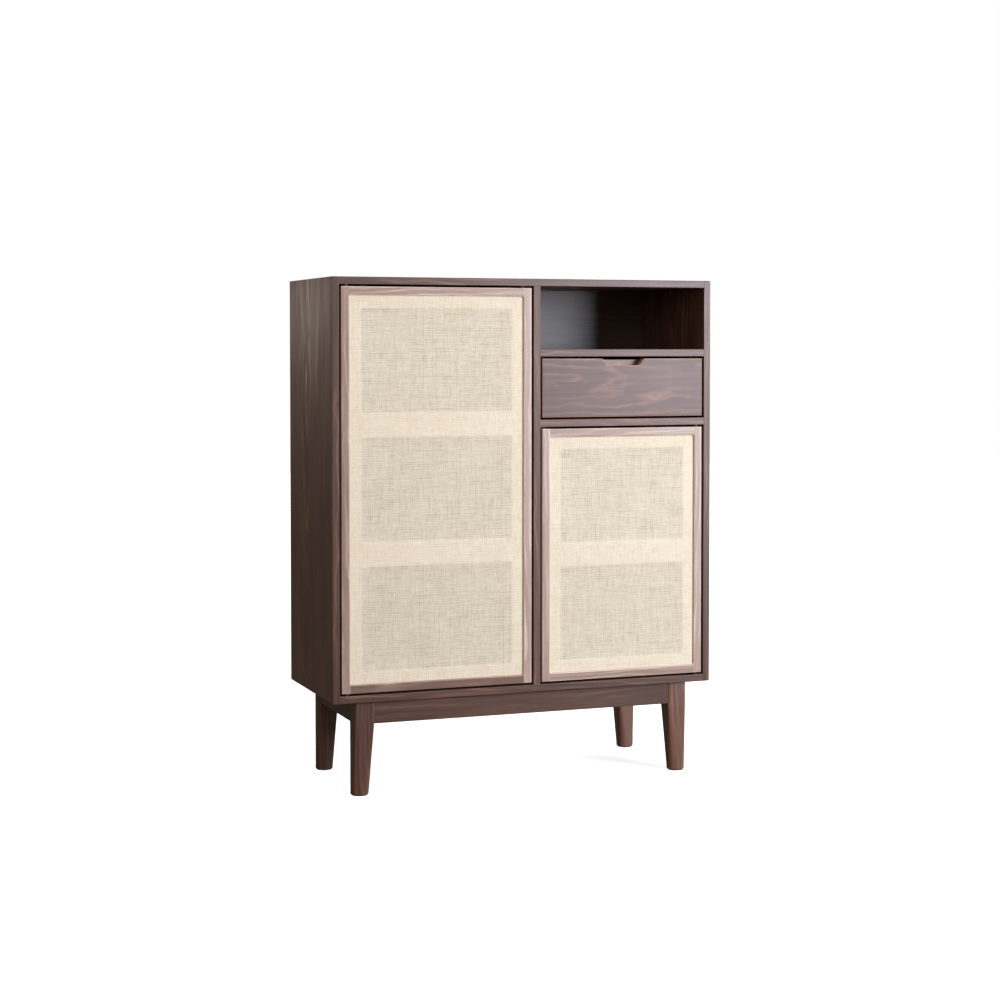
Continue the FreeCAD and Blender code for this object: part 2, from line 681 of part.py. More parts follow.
def retainer(side, u_web, u_reach, race_height):
    """Ball retainer: a thin channel that carries a row of balls over and under it."""
    wall, inward = side
    y0 = SLIDE_FRONT + RETAINER_START
    y1 = y0 + RETAINER_LENGTH
    half = race_height + RETAINER_SHEET / 2
    cage = channel(side, (u_web, u_reach), half, RETAINER_SHEET, True, y0, y1)
    balls = []
    middle_u = (u_web + RETAINER_SHEET + u_reach) / 2
    pitch = RETAINER_LENGTH / BALL_COUNT
    for index in range(BALL_COUNT):
        for way in (-1, 1):
            centre = V(
                wall + inward * middle_u,
                y0 + (index + 0.5) * pitch,
                slide_middle_height() + way * race_height,
            )
            balls.append(Part.makeSphere(BALL_RADIUS, centre))
    return cage.fuse(balls)


def build_slides():
    y0 = SLIDE_FRONT
    y1 = y0 + SLIDE_LENGTH
    wall_screws = slide_fixings(SLIDE_SHEET, -1)
    drawer_screws = slide_fixings(SLIDE_SPACE - SLIDE_SHEET, 1)
    web_gap = MIDDLE_START - SLIDE_SHEET
    outer_web = SLIDE_SHEET + (web_gap - RETAINER_SHEET) / 2
    inner_gap_start = MIDDLE_START + SLIDE_SHEET
    inner_web = inner_gap_start + (INNER_START - inner_gap_start - RETAINER_SHEET) / 2
    outer_race = (OUTER_HALF_HEIGHT - SLIDE_SHEET + MIDDLE_HALF_HEIGHT) / 2
    inner_race = (MIDDLE_HALF_HEIGHT - SLIDE_SHEET + INNER_HALF_HEIGHT) / 2
    members = {"slide_outer_members": [], "slide_intermediate_members": [], "slide_inner_members": []}
    cages = {"outer_ball_retainers": [], "inner_ball_retainers": []}
    for side in slide_sides():
        outer = channel(side, (0, OUTER_REACH), OUTER_HALF_HEIGHT, SLIDE_SHEET, True, y0, y1)
        middle = channel(side, (MIDDLE_START, MIDDLE_REACH), MIDDLE_HALF_HEIGHT, SLIDE_SHEET, True, y0, y1)
        inner = channel(side, (INNER_START, SLIDE_SPACE), INNER_HALF_HEIGHT, SLIDE_SHEET, False, y0, y1)
        members["slide_outer_members"].append(cut_all(outer, wall_screws))
        members["slide_intermediate_members"].append(middle)
        members["slide_inner_members"].append(cut_all(inner, drawer_screws))
        outer_cage = retainer(side, outer_web, OUTER_REACH - RETAINER_INSET, outer_race)
        inner_cage = retainer(side, inner_web, MIDDLE_REACH - RETAINER_INSET, inner_race)
        cages["outer_ball_retainers"].append(outer_cage)
        cages["inner_ball_retainers"].append(inner_cage)
    for name, solids in list(members.items()) + list(cages.items()):
        keep(name, *solids)
    return wall_screws


# ---- Base: built for the front right corner and mirrored to the other three ----
def rounded_square(side, corner, centre, z):
    """Closed wire: a square with rounded corners, level, about centre."""
    half = side / 2
    straight = half - corner
    edges = []
    for quarter in range(4):
        angle = quarter * math.pi / 2
        out = V(math.cos(angle), math.sin(angle), 0)
        across = V(-math.sin(angle), math.cos(angle), 0)
        middle = V(centre.x, centre.y, z)
        start = middle + out * half - across * straight
        end = middle + out * half + across * straight
        knee = middle + out * straight + across * straight
        bulge = knee + (out + across) * (corner / math.sqrt(2))
        finish = middle + out * straight + across * half
        edges.append(Part.LineSegment(start, end).toShape())
        edges.append(Part.Arc(end, bulge, finish).toShape())
    return Part.Wire(edges)


def leg_centre():
    return V(RIGHT - LEG_SIDE_INSET - LEG_TOP / 2, FRONT + LEG_FRONT_INSET + LEG_TOP / 2, 0)


def front_right_leg():
    centre = leg_centre()
    foot = V(centre.x + FOOT_SPLAY, centre.y, 0)
    knee = LEG_HEIGHT - LEG_STRAIGHT
    block = Part.Face(rounded_square(LEG_TOP, LEG_TOP_CORNER, centre, knee)).extrude(Z * LEG_STRAIGHT)
    sections = [
        rounded_square(FOOT_DIAMETER, FOOT_CORNER, foot, GLIDE_THICKNESS),
        rounded_square(LEG_TOP, LEG_TOP_CORNER, centre, knee),
    ]
    return block.fuse(Part.makeLoft(sections, True, True)).removeSplitter()


def leg_glide():
    centre = leg_centre()
    foot = V(centre.x + FOOT_SPLAY, centre.y, 0)
    disc = rod(GLIDE_RADIUS, foot, Z, GLIDE_THICKNESS)
    nail = rod(GLIDE_PIN_RADIUS, foot, Z, GLIDE_THICKNESS + GLIDE_PIN_LENGTH)
    return disc.fuse(nail).removeSplitter()


def leg_inner_corner():
    centre = leg_centre()
    return V(centre.x - LEG_TOP / 2, centre.y + LEG_TOP / 2, 0)


def apron_faces():
    """Outer planes of the front apron and of the right apron."""
    return FRONT + LEG_FRONT_INSET + APRON_SETBACK, RIGHT - LEG_SIDE_INSET - APRON_SETBACK


def front_apron():
    """Apron between the front legs, with a tenon at each end."""
    y0, _ = apron_faces()
    reach = leg_inner_corner().x
    return apron_bar(-reach, reach, y0, y0 + APRON_THICKNESS, X)


def right_apron():
    _, x1 = apron_faces()
    reach = leg_inner_corner().y
    return apron_bar(x1 - APRON_THICKNESS, x1, reach, -reach, Y)


def apron_bar(x0, x1, y0, y1, along):
    """Bar under the carcass from (x0, y0) to (x1, y1), with a tenon on both ends along its length."""
    bar = box(x0, x1, y0, y1, LEG_HEIGHT - APRON_HEIGHT, LEG_HEIGHT)
    bar = bar.makeFillet(INNER_EASE, edges_where(bar, lambda p: near(p.z, LEG_HEIGHT - APRON_HEIGHT)))
    side = (APRON_THICKNESS - APRON_TENON_THICKNESS) / 2
    z0 = LEG_HEIGHT - (APRON_HEIGHT + APRON_TENON_HEIGHT) / 2
    if along.x:
        tenon = box(x0 - APRON_TENON_LENGTH, x1 + APRON_TENON_LENGTH, y0 + side, y1 - side,
                    z0, z0 + APRON_TENON_HEIGHT)
    else:
        tenon = box(x0 + side, x1 - side, y0 - APRON_TENON_LENGTH, y1 + APRON_TENON_LENGTH,
                    z0, z0 + APRON_TENON_HEIGHT)
    return bar.fuse(tenon).removeSplitter()


def corner_block():
    """Three-sided block in the corner of the aprons, notched round the leg."""
    y0, x1 = apron_faces()
    corner = V(x1 - APRON_THICKNESS, y0 + APRON_THICKNESS, LEG_HEIGHT - BLOCK_HEIGHT)
    block = prism([corner, corner - X * BLOCK_LEG, corner + Y * BLOCK_LEG], Z * BLOCK_HEIGHT)
    leg = leg_inner_corner()
    return block.cut(box(leg.x, RIGHT, FRONT, leg.y, 0, LEG_HEIGHT + 1))


def block_face():
    """Middle of the corner block's long face, where the leg bolt comes out."""
    y0, x1 = apron_faces()
    return V(x1 - APRON_THICKNESS - BLOCK_LEG / 2, y0 + APRON_THICKNESS + BLOCK_LEG / 2, 0)


def leg_bolt():
    """Bolt from the corner block into the leg, with its washer and hexagon nut."""
    height = LEG_HEIGHT - BLOCK_HEIGHT / 2
    face = block_face() + Z * height
    leg = leg_inner_corner() + Z * height
    into = (leg - face).normalize()
    shaft_start = face - into * BOLT_STICK_OUT
    shaft = rod(BOLT_RADIUS, shaft_start, into, (leg - face).Length + BOLT_STICK_OUT + BOLT_IN_LEG)
    washer = rod(WASHER_RADIUS, face - into * WASHER_THICKNESS, into, WASHER_THICKNESS).cut(shaft)
    nut_plane = face - into * WASHER_THICKNESS
    across = into.cross(Z)
    radius = NUT_ACROSS / math.sqrt(3)
    corners = []
    for step in range(6):
        angle = math.radians(60 * step)
        corners.append(nut_plane + across * (radius * math.cos(angle)) + Z * (radius * math.sin(angle)))
    nut = prism(corners, into * -NUT_HEIGHT).cut(shaft)
    return shaft, washer, nut


def base_screws():
    """Two screws up through the corner block into the bottom panel, either side of the bolt."""
    middle = block_face()
    aside = BLOCK_LEG * BASE_SCREW_ASIDE
    inset = BLOCK_LEG * BASE_SCREW_INSET
    z = LEG_HEIGHT - BLOCK_HEIGHT
    screws = []
    for way in (-1, 1):
        head = V(middle.x + way * aside + inset, middle.y + way * aside - inset, z)
        screws.append(countersunk(SCREW_BASE, head, Z))
    return screws


def four_corners(shape):
    """The shape at the front right, front left, back right and back left corners."""
    left = shape.mirror(V(0, 0, 0), X)
    return [shape, left, shape.mirror(V(0, 0, 0), Y), left.mirror(V(0, 0, 0), Y)]


def build_base():
    bolt, washer, nut = leg_bolt()
    glide = leg_glide()
    screws = base_screws()
    front = front_apron()
    side = right_apron()
    leg = front_right_leg().cut([bolt, glide, front, side])
    places = ("front_right", "front_left", "back_right", "back_left")
    for place, shape in zip(places, four_corners(leg)):
        keep("leg_" + place, shape)
    keep("apron_front", front)
    keep("apron_back", front.mirror(V(0, 0, 0), Y))
    keep("apron_right", side)
    keep("apron_left", side.mirror(V(0, 0, 0), X))
    keep("corner_blocks", *four_corners(corner_block().cut([bolt] + screws)))
    bolts = [solid for piece in (bolt, washer, nut) for solid in four_corners(piece)]
    keep("leg_bolts", *bolts)
    keep("leg_glides", *four_corners(glide))
    return [solid for screw in screws for solid in four_corners(screw)]


# ---- The whole cabinet ----
def build_cabinet():
    base_fixings = build_base()
    wall_screws = build_slides()
    build_drawer()

    left_width = DIVIDER_LEFT - LEFT_FACE - 2 * REVEAL
    right_width = RIGHT_BAY_WIDTH - 2 * REVEAL
    left_height = CEILING - FLOOR_TOP - 2 * REVEAL
    right_height = LOWER_SHELF_BOTTOM - FLOOR_TOP - 2 * REVEAL
    door_bottom = FLOOR_TOP + REVEAL
    left_hinge = LEFT_FACE + REVEAL
    right_hinge = RIGHT_FACE - REVEAL
    build_door("left_door", left_hinge, 1, door_bottom, left_width, left_height, LEFT_MID_BANDS)
    build_door("right_door", right_hinge, -1, door_bottom, right_width, right_height, RIGHT_MID_BANDS)

    left_pivots = carcass_pivots(left_hinge, 1, FLOOR_TOP, CEILING)
    right_pivots = carcass_pivots(right_hinge, -1, FLOOR_TOP, LOWER_SHELF_BOTTOM)
    keep("door_pivot_plates", *(left_pivots[0] + right_pivots[0]))

    latch_at = {
        "left": (left_hinge + left_width - FRAME_FACE / 2, CEILING),
        "right": (right_hinge - right_width + FRAME_FACE / 2, LOWER_SHELF_BOTTOM),
    }
    housings = []
    latch_screws = []
    for side, (centre_x, ceiling) in latch_at.items():
        housing, plunger, screws = push_latch(centre_x, ceiling)
        housings.append(housing)
        latch_screws += screws
        keep(side + "_latch_plunger", plunger)
    keep("latch_housings", *housings)

    screws = base_fixings + wall_screws + left_pivots[1] + right_pivots[1] + latch_screws
    keep("cabinet_screws", *screws)

    left_bay = bay_shelves(LEFT_FACE, DIVIDER_LEFT, FLOOR_TOP, CEILING, LEFT_SHELVES)
    right_bay = bay_shelves(DIVIDER_RIGHT, RIGHT_FACE, FLOOR_TOP, LOWER_SHELF_BOTTOM, RIGHT_SHELVES)
    for side, bay in (("left", left_bay), ("right", right_bay)):
        for number, shelf in enumerate(bay[0], start=1):
            keep(side + "_shelf_" + str(number), shelf)
    keep("shelf_pins", *(left_bay[1] + right_bay[1]))

    dowels = carcass_dowels()
    back = back_panel()
    keep("carcass_dowels", *dowels)
    keep("back_panel", back)
    tools = dowels + screws + left_pivots[2] + right_pivots[2] + left_bay[2] + right_bay[2] + [back]
    envelope = carcass_envelope()
    for name, blank in panel_blanks().items():
        if name == "divider_panel":
            blank = blank.cut(back_panel_notch())
        keep(name, cut_all(blank.common(envelope), tools))


def write_parts():
    os.makedirs("parts", exist_ok=True)
    for name, shape in sorted(nodes.items()):
        solids = len(shape.Solids)
        if not shape.isValid() or solids == 0:
            raise ValueError(name + " is not a valid solid")
        shape.exportStep("parts/" + name + ".step")
        print(name, solids, round(shape.Volume / 1000, 2))


build_cabinet()
write_parts()
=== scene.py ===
import math

import bpy
from mathutils import Euler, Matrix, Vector


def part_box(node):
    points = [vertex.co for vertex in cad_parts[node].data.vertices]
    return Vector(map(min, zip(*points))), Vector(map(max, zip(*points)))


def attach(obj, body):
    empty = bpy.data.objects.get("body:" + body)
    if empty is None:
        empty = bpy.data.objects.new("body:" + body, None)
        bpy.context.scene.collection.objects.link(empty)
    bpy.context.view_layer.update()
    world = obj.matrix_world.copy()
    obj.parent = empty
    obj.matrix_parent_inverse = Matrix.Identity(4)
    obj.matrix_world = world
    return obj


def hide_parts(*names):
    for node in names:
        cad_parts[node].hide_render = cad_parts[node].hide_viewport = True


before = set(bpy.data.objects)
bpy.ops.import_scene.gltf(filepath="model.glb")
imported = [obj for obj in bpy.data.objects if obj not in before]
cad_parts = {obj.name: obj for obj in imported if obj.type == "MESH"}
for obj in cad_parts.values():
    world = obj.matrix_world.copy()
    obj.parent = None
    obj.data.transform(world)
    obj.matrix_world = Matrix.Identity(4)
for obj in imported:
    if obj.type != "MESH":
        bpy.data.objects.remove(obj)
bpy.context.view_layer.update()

# Shoe cabinet: stained pine carcass, two cane doors and a drawer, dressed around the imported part.

# ---- Sizes, in metres -------------------------------------------------------------------------

FRAME_FACE = 0.021           # width of a door's stiles and rails
CANE_THICKNESS = 0.0012      # woven sheet behind the door frame
CANE_EDGE_BAND = 0.028       # where the sheet lies on the inner frame, seen round the opening
CANE_MID_BAND = 0.056        # where it lies on a middle rail
CANE_HOLLOW = 0.0006         # how far the sheet draws back between the rails
CANE_HOLLOW_EDGE = 0.005     # width of the slope down to that
CANE_THREAD = 0.0028         # pitch of one strand
RING_SPACING = 0.009         # growth rings of plantation pine
FLOOR_SIZE = 24.0

# ---- Studio values ----------------------------------------------------------------------------

CAMERA_PLACE = (-1.798, -4.806, 1.0852)
CAMERA_LOOKS_DOWN = 0.03433  # radians below the level
CAMERA_TURNS_RIGHT = 0.35818 # radians from straight ahead
CAMERA_LENS = 72.2           # millimetres, on a sensor 36 mm wide
CAMERA_SHIFT = -0.0839       # upright lines stay almost parallel
FLOOR_GLOW = 0.80            # keeps the floor white under the cabinet's own shade
SURROUND_LIGHT = 0.17        # share of the white surroundings that lights the cabinet
OVERHEAD_LIGHT = 1.5

# ---- Small helpers ----------------------------------------------------------------------------


def linear(hex_colour):
    """An sRGB hex colour as the linear colour that a socket takes."""
    parts = [int(hex_colour[i:i + 2], 16) / 255 for i in (1, 3, 5)]
    return [p / 12.92 if p <= 0.04045 else ((p + 0.055) / 1.055) ** 2.4 for p in parts] + [1.0]


def add(tree, kind, inputs=None, stops=None, output=0, **settings):
    """Adds a node with its settings, and feeds each input from a socket or a plain value."""
    made = tree.nodes.new("ShaderNode" + kind)
    for name, value in settings.items():
        setattr(made, name, value)
    for socket, value in (inputs or {}).items():
        if isinstance(value, bpy.types.NodeSocket):
            tree.links.new(value, made.inputs[socket])
        else:
            made.inputs[socket].default_value = value
    if stops:
        elements = made.color_ramp.elements
        while len(elements) < len(stops):
            elements.new(0.5)
        for element, (position, colour) in zip(elements, stops):
            element.position = position
            element.color = linear(colour)
    return made.outputs[output] if made.outputs else made


def new_material(name):
    """An empty material and its node tree."""
    made = bpy.data.materials.new(name)
    made.use_nodes = True
    made.node_tree.nodes.clear()
    return made, made.node_tree


def clad(node, material):
    """Gives a part its finish in every slot it has."""
    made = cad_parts[node]
    if not made.material_slots:
        made.data.materials.append(material)
    for slot in made.material_slots:
        slot.material = material


def deselect():
    bpy.ops.object.select_all(action="DESELECT")


# ---- Timber -----------------------------------------------------------------------------------

# Turns the run of the grain onto the pattern's own length, Z.
GRAIN_ALONG = {
    "X": Euler((0, -math.pi / 2, 0)),
    "Y": Euler((math.pi / 2, 0, 0)),
    "Z": Euler((0, 0, 0)),
}

# Softwood that takes a walnut stain unevenly: the soft early wood drinks it and goes dark, the hard
# late wood stays pinkish and pale. Each list runs from the darkest tone to the palest.
CARCASS_STAIN = ("#332019", "#4e342a", "#6b4a3e", "#96705f")
LEG_STAIN = ("#301c15", "#4b3026", "#674639", "#8f6757")
DOOR_STAIN = ("#7d6154", "#a58879", "#c1a799", "#f1e5dc")
DRAWER_STAIN = ("#523b31", "#71534a", "#8a6759", "#c8a593")
PLY_STAIN = ("#322924", "#4b3d35", "#614f46", "#7b685b")
PALE_PINE = ("#a98a62", "#c9ab80", "#dabf97", "#e6d2b0")
BEECH = ("#a9835a", "#bd986c", "#caa97f", "#d6b98f")


def timber(name, node, tones, along, pith, seed, stain_and_light_lift=0.0, ring=RING_SPACING, figure=0.34,
           roughness=0.41, bump=0.35, wander=0.016, edge_wear_and_highlight=0.25):
    """Sawn and sanded softwood. The rings of one tree run through the board, whose middle lies `pith`
    away from the tree's own, so faces show long arches and ends show arcs, as in a real plank."""
    material, tree = new_material(name)
    low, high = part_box(node)
    # No board is sawn quite along its tree, so the arches run out of its faces.
    lean = Euler((0.022 * math.sin(seed * 2.1), 0.026 * math.cos(seed * 1.3), seed * 0.7)).to_matrix()
    turn = lean @ GRAIN_ALONG[along].to_matrix()
    origin = (low + high) / 2 + Vector(pith)
    coords = add(tree, "TexCoord", output="Object")
    place = add(tree, "Mapping", {"Vector": coords, "Location": -(turn @ origin),
                                  "Rotation": turn.to_euler()})

    def noise(size, length, detail, offset):
        """Noise whose grains are `size` across the board and `length` along it, in metres."""
        shift = [seed * k + offset for k in (3.7, 1.9, 5.3)]
        spread = add(tree, "Mapping", {"Vector": place, "Location": shift,
                                       "Scale": (1 / size, 1 / size, 1 / length)})
        return add(tree, "TexNoise", {"Vector": spread, "Scale": 1.0, "Detail": detail,
                                      "Roughness": 0.55}, output="Color")

    # The trunk isn't round or straight: the rings drift by a few millimetres along the board.
    drift = add(tree, "VectorMath", {0: noise(0.12, 0.42, 4.0, 0.0), 1: (0.5, 0.5, 0.5)},
                operation="SUBTRACT")
    drifted = add(tree, "VectorMath", {0: drift, 1: (wander * 3, wander * 3, 0), 2: place},
                  operation="MULTIPLY_ADD")
    across = add(tree, "VectorMath", {0: drifted, 1: (1, 1, 0)}, operation="MULTIPLY")
    radius = add(tree, "VectorMath", {0: across}, operation="LENGTH", output="Value")
    rings = add(tree, "Math", {0: radius, 1: ring}, operation="DIVIDE")
    phase = add(tree, "Math", {0: rings}, operation="FRACT")
    late_wood = add(tree, "ValToRGB", {"Fac": phase}, stops=(
        (0.0, "#000000"), (0.5, "#1c1c1c"), (0.82, "#ffffff"), (0.93, "#d0d0d0"), (1.0, "#000000")))
    patchy = add(tree, "MapRange", {"Value": noise(0.05, 0.22, 2.0, 11.0), "From Min": 0.36,
                                    "From Max": 0.62})
    band = add(tree, "Math", {0: late_wood, 1: patchy}, operation="MULTIPLY")

    fibre = noise(0.0022, 0.09, 2.0, 2.0)      # bundles of fibre, drawn at 2 mm so that they show
    streak = noise(0.009, 0.34, 1.0, 5.0)      # stain held along the grain
    blotch = noise(0.075, 0.26, 1.0, 8.0)      # slow changes of tone over a board

    # Rounded corners are painted paler than the faces: partly rubbed wear, partly a painted highlight
    # where the eased edges catch the light.
    facing = add(tree, "VectorMath", {0: add(tree, "TexCoord", output="Normal")}, operation="ABSOLUTE")
    split = add(tree, "SeparateXYZ", {"Vector": facing}).node
    flatness = add(tree, "Math", {0: split.outputs[0], 1: split.outputs[1]}, operation="MAXIMUM")
    flatness = add(tree, "Math", {0: flatness, 1: split.outputs[2]}, operation="MAXIMUM")
    pale_edge_wear_and_highlight = add(tree, "MapRange", {"Value": flatness, "From Min": 0.99, "From Max": 0.83, "To Min": 0.0,
                                   "To Max": edge_wear_and_highlight})

    # This shift moves the whole board paler or darker: partly its own take of the stain, partly painted
    # light and shade.
    tone = add(tree, "Math", {0: fibre, 1: 0.26, 2: stain_and_light_lift - 0.10}, operation="MULTIPLY_ADD")
    tone = add(tree, "Math", {0: streak, 1: 0.40, 2: tone}, operation="MULTIPLY_ADD")
    tone = add(tree, "Math", {0: blotch, 1: 0.34, 2: tone}, operation="MULTIPLY_ADD")
    tone = add(tree, "Math", {0: band, 1: figure, 2: tone}, operation="MULTIPLY_ADD")
    tone = add(tree, "Math", {0: tone, 1: pale_edge_wear_and_highlight}, operation="ADD")
    colour = add(tree, "ValToRGB", {"Fac": tone}, stops=tuple(zip((0.08, 0.38, 0.60, 0.95), tones)))

    sheen = add(tree, "Math", {0: fibre, 1: 0.14, 2: roughness - 0.07}, operation="MULTIPLY_ADD")
    relief = add(tree, "Math", {0: band, 1: 0.5, 2: fibre}, operation="MULTIPLY_ADD")
    normal = add(tree, "Bump", {"Height": relief, "Strength": bump, "Distance": 0.00022})
    shader = add(tree, "BsdfPrincipled", {"Base Color": colour, "Roughness": sheen, "IOR": 1.5,
                                          "Normal": normal})
    add(tree, "OutputMaterial", {"Surface": shader})
    return material


# Board, stain, run of the grain, where the heart of its tree lies from the middle of the board, and how
# much paler or darker than the rest that board is painted: partly how it took the stain, partly painted
# light and shade set board by board.
BOARDS = (
    ("top_panel", CARCASS_STAIN, "X", (0, 0.03, -0.11), 0.05),
    ("bottom_panel", CARCASS_STAIN, "X", (0, -0.05, 0.12), 0.05),
    ("left_side_panel", CARCASS_STAIN, "Z", (-0.10, 0.04, 0), 0.03),
    ("right_side_panel", CARCASS_STAIN, "Z", (0.13, -0.03, 0), 0.02),
    ("divider_panel", CARCASS_STAIN, "Z", (0.08, 0.02, 0), 0.1),
    ("lower_fixed_shelf", CARCASS_STAIN, "X", (0, 0.02, -0.09), 0.18),
    ("upper_fixed_shelf", CARCASS_STAIN, "X", (0, -0.04, 0.13), 0.12),
    ("back_panel", PLY_STAIN, "X", (0, 0.06, 0.10), 0),
    ("left_shelf_1", CARCASS_STAIN, "X", (0, 0.05, 0.12), 0),
    ("left_shelf_2", CARCASS_STAIN, "X", (0, -0.02, -0.10), 0),
    ("left_shelf_3", CARCASS_STAIN, "X", (0, 0.01, 0.14), 0),
    ("right_shelf_1", CARCASS_STAIN, "X", (0, -0.06, -0.09), 0),
    ("right_shelf_2", CARCASS_STAIN, "X", (0, 0.03, 0.11), 0),
    ("leg_front_left", LEG_STAIN, "Z", (-0.05, 0.04, 0), 0.07),
    ("leg_front_right", LEG_STAIN, "Z", (0.06, 0.05, 0), 0.33),
    ("leg_back_left", LEG_STAIN, "Z", (0.04, -0.06, 0), -0.09),
    ("leg_back_right", LEG_STAIN, "Z", (-0.03, -0.07, 0), 0.6),
    ("apron_front", LEG_STAIN, "X", (0, 0.07, -0.03), 0.08),
    ("apron_back", LEG_STAIN, "X", (0, -0.08, 0.02), 0),
    ("apron_left", LEG_STAIN, "Y", (0.07, 0, 0.03), 0),
    ("apron_right", LEG_STAIN, "Y", (-0.06, 0, -0.04), 0),
    ("corner_blocks", PALE_PINE, "Y", (0, 0, 0.20), 0),
    ("left_door_hinge_stile", DOOR_STAIN, "Z", (0.05, 0.06, 0), -0.06),
    ("left_door_free_stile", DOOR_STAIN, "Z", (-0.04, 0.08, 0), 0.13),
    ("left_door_top_rail", DOOR_STAIN, "X", (0, 0.05, 0.06), 0),
    ("left_door_bottom_rail", DOOR_STAIN, "X", (0, 0.07, -0.03), -0.30),
    ("right_door_hinge_stile", DOOR_STAIN, "Z", (0.06, 0.05, 0), 0.11),
    ("right_door_free_stile", DOOR_STAIN, "Z", (-0.07, 0.04, 0), 0.11),
    ("right_door_top_rail", DOOR_STAIN, "X", (0, 0.08, -0.05), 0.02),
    ("right_door_bottom_rail", DOOR_STAIN, "X", (0, 0.04, 0.06), 0),
    ("left_door_inner_frame", PALE_PINE, "Z", (0.30, 0.05, 0), 0),
    ("right_door_inner_frame", PALE_PINE, "Z", (-0.26, 0.06, 0), 0),
    ("drawer_front", DRAWER_STAIN, "X", (0, 0.055, 0.015), -0.13),
    ("drawer_inner_front", DRAWER_STAIN, "X", (0, 0.06, 0.05), 0.12),
    ("drawer_left_side", PALE_PINE, "Y", (0.05, 0, 0.04), 0),
    ("drawer_right_side", PALE_PINE, "Y", (-0.06, 0, 0.05), 0),
    ("drawer_back", PALE_PINE, "X", (0, -0.05, 0.04), 0),
    ("drawer_bottom", PALE_PINE, "X", (0, 0.10, 0.14), 0),
    ("carcass_dowels", BEECH, "X", (0, 0.30, 0.20), 0),
)
# The edge value in each finish sets how much paler its rounded edges are painted: part rubbed wear, part
# painted highlight. The drawer front and door frames take the most.
FINISHES = {
    CARCASS_STAIN: ("walnut-stained pine", {"roughness": 0.41}),
    LEG_STAIN: ("walnut-stained pine", {"roughness": 0.41, "figure": 0.24}),
    DOOR_STAIN: ("pale-stained pine", {"roughness": 0.38, "edge_wear_and_highlight": 0.4, "figure": 0.30}),
    DRAWER_STAIN: ("brown-stained pine", {"roughness": 0.42, "edge_wear_and_highlight": 1.0, "figure": 0.36, "ring": 0.011,
                                           "wander": 0.024}),
    PLY_STAIN: ("stained plywood", {"figure": 0.10}),
    PALE_PINE: ("natural pine", {"edge_wear_and_highlight": 0.1}),
    BEECH: ("beech", {"figure": 0.08, "ring": 0.003, "edge_wear_and_highlight": 0.0}),
}
for number, (node, tones, along, pith, stain_and_light_lift) in enumerate(BOARDS):
    finish, ways = FINISHES[tones]
    label = finish + ", " + node.replace("_", " ")
    clad(node, timber(label, node, tones, along, pith, number + 1, stain_and_light_lift, **ways))

# ---- Metal and plastic ------------------------------------------------------------------------


def metal(name, tone, worn_tone, roughness, line):
    """Plated steel: cool and bright, cloudy where the plating varies, with fine drawn lines that
    stretch each highlight."""
    material, tree = new_material(name)
    coords = add(tree, "TexCoord", output="Object")
    lines = add(tree, "Mapping", {"Vector": coords, "Scale": (1 / 0.03, 1 / line, 1 / line)})
    drawn = add(tree, "TexNoise", {"Vector": lines, "Scale": 1.0, "Detail": 2.0})
    cloud = add(tree, "TexNoise", {"Vector": coords, "Scale": 1 / 0.006, "Detail": 3.0, "Roughness": 0.6})
    colour = add(tree, "ValToRGB", {"Fac": cloud}, stops=((0.3, worn_tone), (0.62, tone)))
    rough = add(tree, "Math", {0: drawn, 1: 0.22, 2: roughness - 0.11}, operation="MULTIPLY_ADD")
    normal = add(tree, "Bump", {"Height": drawn, "Strength": 0.2, "Distance": 0.00005})
    shader = add(tree, "BsdfPrincipled", {"Base Color": colour, "Metallic": 1.0, "Roughness": rough,
                                          "Normal": normal})
    add(tree, "OutputMaterial", {"Surface": shader})
    return material


def moulded(name, tone, dark_tone, roughness, grit):
    """Moulded plastic with a fine spark-eroded grain that scatters its highlight."""
    material, tree = new_material(name)
    coords = add(tree, "TexCoord", output="Object")
    grain = add(tree, "TexNoise", {"Vector": coords, "Scale": 1 / grit, "Detail": 2.0})
    cloud = add(tree, "TexNoise", {"Vector": coords, "Scale": 1 / 0.012, "Detail": 2.0})
    colour = add(tree, "ValToRGB", {"Fac": cloud}, stops=((0.25, dark_tone), (0.75, tone)))
    rough = add(tree, "Math", {0: grain, 1: 0.16, 2: roughness - 0.08}, operation="MULTIPLY_ADD")
    normal = add(tree, "Bump", {"Height": grain, "Strength": 0.25, "Distance": 0.00006})
    shader = add(tree, "BsdfPrincipled", {"Base Color": colour, "Roughness": rough, "IOR": 1.49,
                                          "Normal": normal})
    add(tree, "OutputMaterial", {"Surface": shader})
    return material


zinc = metal("bright zinc-plated steel", "#cfd2d4", "#a9adb0", 0.34, 0.0006)
screw_zinc = metal("dull zinc screw steel", "#b3b4b3", "#8c8d8c", 0.40, 0.0004)
steel_balls = metal("cage steel and balls", "#c4c5c6", "#9a9b9c", 0.28, 0.0005)
bronzed = metal("bronzed steel", "#5a473b", "#463830", 0.46, 0.0005)
for node in ("slide_outer_members", "slide_inner_members", "slide_intermediate_members", "shelf_pins"):
    clad(node, zinc)
for node in ("door_pivot_plates", "left_door_pivot_leaves", "right_door_pivot_leaves"):
    clad(node, bronzed)
for node in ("outer_ball_retainers", "inner_ball_retainers"):
    clad(node, steel_balls)
for node in ("cabinet_screws", "drawer_screws", "leg_bolts", "left_door_fasteners",
             "right_door_fasteners"):
    clad(node, screw_zinc)
clad("leg_glides", moulded("black nylon glide", "#24221f", "#171513", 0.48, 0.0005))
clad("latch_housings", moulded("brown moulded latch body", "#4b372d", "#3a2a22", 0.42, 0.0004))
plunger_grey = moulded("grey acetal plunger", "#b9b6af", "#a29f98", 0.36, 0.0004)
for node in ("left_latch_plunger", "right_latch_plunger"):
    clad(node, plunger_grey)

# ---- Cane sheets ------------------------------------------------------------------------------


